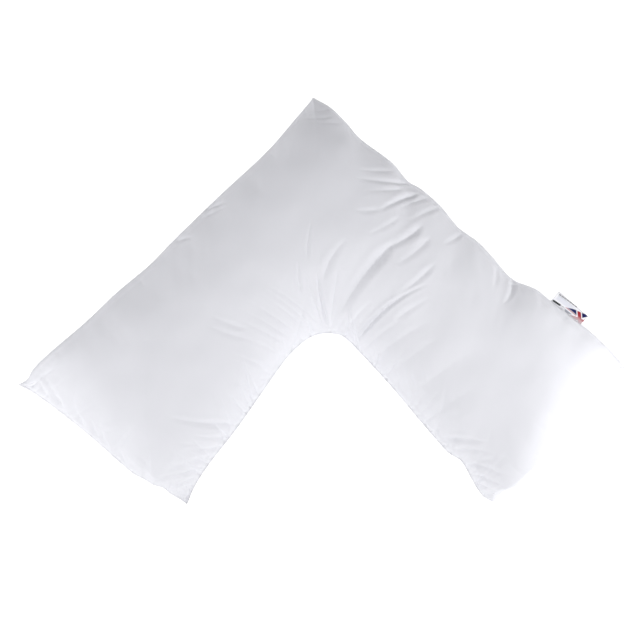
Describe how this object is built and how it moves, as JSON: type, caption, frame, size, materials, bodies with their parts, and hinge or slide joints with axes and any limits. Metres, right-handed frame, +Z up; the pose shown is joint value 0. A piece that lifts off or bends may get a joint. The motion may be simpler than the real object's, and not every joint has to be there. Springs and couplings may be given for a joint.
{
  "type": "v shaped pillow",
  "caption": "V-shaped filled support pillow lying flat, with crowned arms, drawn-in seamed edges, folds fanning out from the inner corner and a folded label in the outer seam.",
  "frame": {"origin": "on the resting surface, under the middle of the pillow's bounding box", "axes": "+Z up from the surface the pillow lies on; +Y towards the closed corner of the V; +X towards the arm that carries the label, across the widest part of the V"},
  "size_m": [1.1792, 0.789, 0.1632],
  "materials": {
    "case": "matt plain-woven white cotton mix",
    "label": "smooth printed white ribbon"
  },
  "bodies": {
    "root": {"pillow": "case", "label": "label"}
  },
  "joints": []
}
